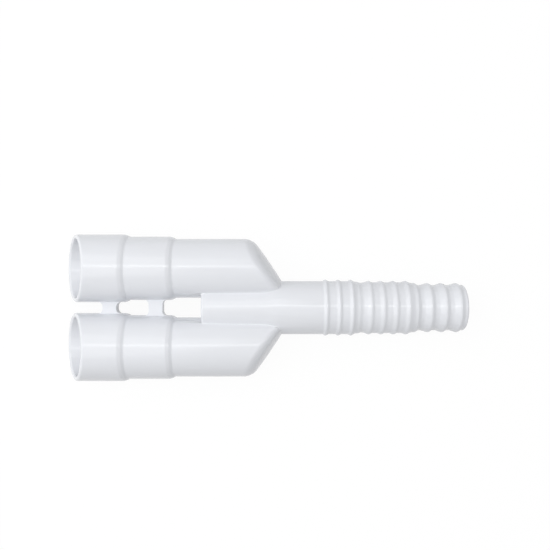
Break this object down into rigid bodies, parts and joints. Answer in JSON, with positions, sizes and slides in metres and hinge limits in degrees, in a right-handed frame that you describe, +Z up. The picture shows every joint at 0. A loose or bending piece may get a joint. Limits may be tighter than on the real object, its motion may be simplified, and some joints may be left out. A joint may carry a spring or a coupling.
{
  "type": "tubing y connector",
  "caption": "Moulded Y connector: side-by-side stepped sockets with slanted mouths join one ribbed hose spigot.",
  "frame": {"origin": "on the spigot's axis, where the slanted ends of the two sockets meet the spigot's side; it lies in the outlet bore", "axes": "+X along the spigot towards its tip, Y across the two sockets, +Z up; the mouths' upper lips are set back"},
  "size_m": [0.1431, 0.0516, 0.0238],
  "materials": {
    "white_plastic": "moulded gloss white"
  },
  "bodies": {
    "root": {"y_connector": "white_plastic"}
  },
  "joints": []
}
